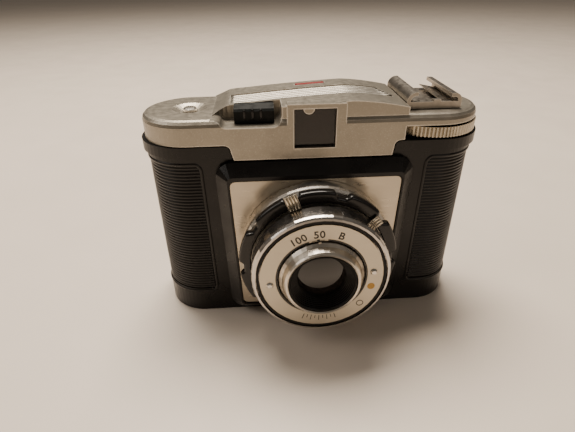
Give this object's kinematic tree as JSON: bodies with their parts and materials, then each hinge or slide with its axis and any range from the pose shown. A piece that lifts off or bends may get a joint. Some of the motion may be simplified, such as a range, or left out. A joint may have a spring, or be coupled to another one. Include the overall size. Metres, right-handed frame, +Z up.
{
  "type": "roll film camera",
  "caption": "Roll-film viewfinder camera with a turning lens ring, levered shutter, edge winding wheel, accessory shoe and hinged back.",
  "frame": {"origin": "on the underside, below the lens axis, at mid-depth of the body", "axes": "+Z up, the lens looks along -Y, +X is on the right as seen from in front of the lens"},
  "size_m": [0.1404, 0.0704, 0.0992],
  "materials": {
    "body_plastic": "moulded black plastic with a fine grain and polished edges",
    "ring_plastic": "polished black plastic",
    "key_plastic": "worn black plastic",
    "inner_black": "dull black",
    "black_paint": "black lacquer",
    "cover_paint": "satin warm silver paint, worn at the edges",
    "satin_plate": "fine satin",
    "dial_satin": "fine satin",
    "chrome": "bright",
    "barrel_chrome": "worn bright chrome",
    "rim_chrome": "bright with fine turning lines",
    "lever_nickel": "warm nickel plate",
    "wheel_nickel": "warm nickel plate, worn",
    "steel": "plain steel",
    "shoe_steel": "dull pressed steel",
    "brass": "plain",
    "badge_red": "red enamel",
    "window_red": "deep red",
    "lens_glass": "coated",
    "finder_glass": "clear"
  },
  "bodies": {
    "camera_body": {"front_body": "body_plastic", "face_plate": "satin_plate", "tripod_bush": "brass", "lens_mount": "steel", "base_ring": "chrome", "gate_frame": "inner_black", "film_brake": "steel", "supply_pivot_lower": "steel", "supply_pivot_upper": "steel", "take_up_pivot": "steel", "top_cover": "cover_paint", "cover_screw": "chrome", "cover_badge": "badge_red", "finder_tube": "inner_black", "finder_glass": "finder_glass", "eyepiece_glass": "finder_glass", "shoe_channel": "shoe_steel", "shoe_spring": "shoe_steel", "shoe_rivet_front": "shoe_steel", "shoe_rivet_back": "shoe_steel", "release_lever_screw": "steel", "release_spring": "steel", "pawl_screw": "steel", "pawl_spring": "brass", "hinge_pin": "steel"},
    "winder": {"winding_wheel": "wheel_nickel", "winding_shaft": "steel", "ratchet_gear": "brass", "take_up_spool": "inner_black"},
    "pawl_arm": {"pawl": "steel"},
    "left_roller": {"roller_left": "steel"},
    "right_roller": {"roller_right": "steel"},
    "door": {"back_door": "body_plastic", "red_window": "window_red", "pressure_spring_left": "steel", "pressure_spring_right": "steel"},
    "latch": {"door_latch": "chrome"},
    "window_cover": {"window_shutter": "steel"},
    "film_pad": {"pressure_plate": "black_paint"},
    "release_button": {"release_key": "key_plastic"},
    "release_link": {"release_lever": "steel"},
    "focus_grip": {"focus_ring": "ring_plastic"},
    "lens_unit": {"lens_barrel": "barrel_chrome", "dial_plate": "dial_satin", "trim_ring": "black_paint", "shutter_cover": "black_paint", "dial_screw_left": "chrome", "dial_screw_right": "chrome", "front_cell": "black_paint", "front_lens": "lens_glass", "shutter_plate": "black_paint", "shutter_spring": "steel", "rear_cell": "black_paint", "rear_lens": "lens_glass"},
    "speed_selector": {"speed_ring": "rim_chrome"},
    "cocking_arm": {"cocking_lever": "lever_nickel"},
    "stop_arm": {"aperture_lever": "lever_nickel"},
    "stop_disc": {"aperture_disc": "black_paint"},
    "blade": {"shutter_blade": "black_paint"}
  },
  "joints": [
    {"name": "winding_turn", "type": "hinge", "parent": "camera_body", "child": "winder", "pos_m": [0.0495, 0, 0], "axis": [0, 0, 1], "continuous": true},
    {"name": "pawl_turn", "type": "hinge", "parent": "camera_body", "child": "pawl_arm", "pos_m": [0.036, -0.001, 0.081], "axis": [0, 0, -1], "range_deg": [0, 8], "stiffness_Nm_per_rad": 0.002},
    {"name": "left_roller_spin", "type": "hinge", "parent": "camera_body", "child": "left_roller", "pos_m": [-0.037, 0.0108, 0.038], "axis": [0, 0, 1], "continuous": true},
    {"name": "right_roller_spin", "type": "hinge", "parent": "camera_body", "child": "right_roller", "pos_m": [0.037, 0.0108, 0.038], "axis": [0, 0, 1], "continuous": true},
    {"name": "door_hinge", "type": "hinge", "parent": "camera_body", "child": "door", "pos_m": [-0.0676, 0.0096, 0.038], "axis": [0, 0, 1], "range_deg": [0, 110]},
    {"name": "latch_slide", "type": "slide", "parent": "door", "child": "latch", "axis": [-1, 0, 0], "range_m": [0, 0.004]},
    {"name": "window_slide", "type": "slide", "parent": "door", "child": "window_cover", "axis": [1, 0, 0], "range_m": [0, 0.011]},
    {"name": "pressure_slide", "type": "slide", "parent": "door", "child": "film_pad", "axis": [0, 1, 0], "range_m": [0, 0.0005], "stiffness_N_per_m": 400, "springref_m": -0.0004},
    {"name": "release_slide", "type": "slide", "parent": "camera_body", "child": "release_button", "axis": [-1, 0, 0], "range_m": [0, 0.0016], "stiffness_N_per_m": 300},
    {"name": "release_turn", "type": "hinge", "parent": "camera_body", "child": "release_link", "pos_m": [-0.0234, -0.0117, 0.0812], "axis": [0, -1, 0], "range_deg": [0, 21]},
    {"name": "focus_turn", "type": "hinge", "parent": "camera_body", "child": "focus_grip", "pos_m": [0, -0.032, 0.0378], "axis": [0, -1, 0], "range_deg": [0, 270]},
    {"name": "lens_slide", "type": "slide", "parent": "camera_body", "child": "lens_unit", "axis": [0, -1, 0], "range_m": [0, 0.0055]},
    {"name": "speed_turn", "type": "hinge", "parent": "lens_unit", "child": "speed_selector", "pos_m": [0, -0.047, 0.0378], "axis": [0, -1, 0], "range_deg": [-23, 23]},
    {"name": "cocking_turn", "type": "hinge", "parent": "lens_unit", "child": "cocking_arm", "pos_m": [0, -0.0375, 0.0378], "axis": [0, -1, 0], "range_deg": [0, 30], "stiffness_Nm_per_rad": 0.01},
    {"name": "stop_turn", "type": "hinge", "parent": "lens_unit", "child": "stop_arm", "pos_m": [0, -0.0367, 0.0378], "axis": [0, -1, 0], "range_deg": [0, 26]},
    {"name": "stop_disc_turn", "type": "hinge", "parent": "lens_unit", "child": "stop_disc", "pos_m": [0.014, -0.0318, 0.0378], "axis": [0, -1, 0], "range_deg": [-32.5, 0]},
    {"name": "blade_turn", "type": "hinge", "parent": "lens_unit", "child": "blade", "pos_m": [-0.014, -0.0343, 0.0378], "axis": [0, -1, 0], "range_deg": [0, 55], "stiffness_Nm_per_rad": 0.0005}
  ],
  "couplings": [
    {"joint": "release_turn", "follows": "release_slide", "rad_per_m": 222},
    {"joint": "focus_turn", "follows": "lens_slide", "rad_per_m": 856},
    {"joint": "stop_disc_turn", "follows": "stop_turn", "ratio": -1.23}
  ]
}
